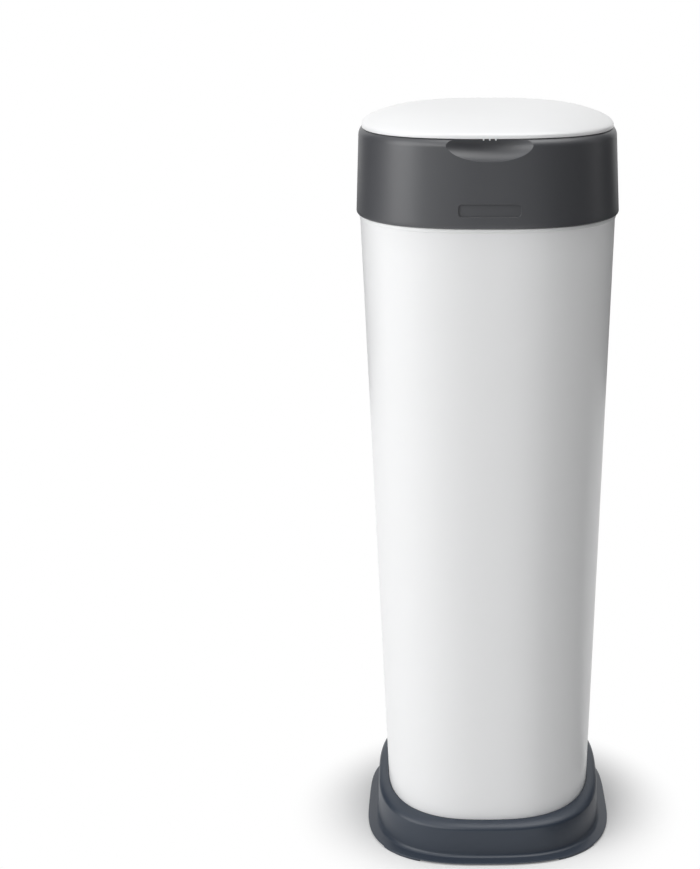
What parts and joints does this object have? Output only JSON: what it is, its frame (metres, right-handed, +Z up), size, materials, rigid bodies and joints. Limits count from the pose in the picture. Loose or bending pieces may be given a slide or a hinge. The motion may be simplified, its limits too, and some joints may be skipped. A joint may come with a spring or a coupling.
{
  "type": "nappy bin",
  "caption": "Tall tapered bin with a domed hinged lid and a tipping collar that holds a turning ring of film, a gripper and a film cutter.",
  "frame": {"origin": "on the floor under the middle of the foot", "axes": "+Z up, front with the thumb scoop towards -Y, +X to the right seen from the front"},
  "size_m": [0.2274, 0.2364, 0.6645],
  "materials": {
    "white_plastic": "satin",
    "grey_plastic": "satin",
    "slate_plastic": "satin",
    "pale_plastic": "satin",
    "gear_plastic": "matte",
    "tray_plastic": "semi gloss",
    "cap_plastic": "semi gloss",
    "film": "soft film",
    "soft_rubber": "matte",
    "seal_rubber": "matte",
    "pad_rubber": "matte",
    "steel": "zinc plated"
  },
  "bodies": {
    "tub_body": {"foot_base": "slate_plastic", "foot_pads": "pad_rubber", "foot_screws": "steel", "tub": "white_plastic", "head_hinge_pin": "steel"},
    "head": {"head_shell": "grey_plastic", "inner_deck": "pale_plastic", "deck_screws": "steel", "film_gripper": "soft_rubber", "gripper_clamp": "grey_plastic", "clamp_screws": "steel", "pawl_pin": "steel", "pawl_spring": "steel", "lid_hinge_pin": "steel"},
    "lid": {"lid_shell": "white_plastic", "lid_liner": "pale_plastic", "lid_seal": "seal_rubber", "lid_screws": "steel"},
    "carrier": {"cassette_carrier": "pale_plastic", "ratchet_ring": "gear_plastic", "twist_ring": "white_plastic", "cassette_body": "tray_plastic", "cassette_cap": "cap_plastic", "film_pack": "film", "film_sleeve": "film"},
    "cutter": {"cutter_slide": "white_plastic", "cutter_blade": "steel"},
    "pawl": {"ratchet_pawl": "gear_plastic"}
  },
  "joints": [
    {"name": "head_hinge", "type": "hinge", "parent": "tub_body", "child": "head", "pos_m": [0, 0.11414, 0.571], "axis": [-1, 0, 0], "range_deg": [0, 95]},
    {"name": "lid_hinge", "type": "hinge", "parent": "head", "child": "lid", "pos_m": [0, 0.11362, 0.6469], "axis": [-1, 0, 0], "range_deg": [0, 100]},
    {"name": "twist", "type": "hinge", "parent": "head", "child": "carrier", "pos_m": [0, 0, 0.6], "axis": [0, 0, 1], "continuous": true},
    {"name": "cutter_travel", "type": "slide", "parent": "head", "child": "cutter", "axis": [1, 0, 0], "range_m": [0, 0.064]},
    {"name": "pawl_rock", "type": "hinge", "parent": "head", "child": "pawl", "pos_m": [0.082, 0, 0.58], "axis": [0, 0, 1], "range_deg": [0, 12], "stiffness_Nm_per_rad": 0.02, "springref_deg": -17.19}
  ]
}
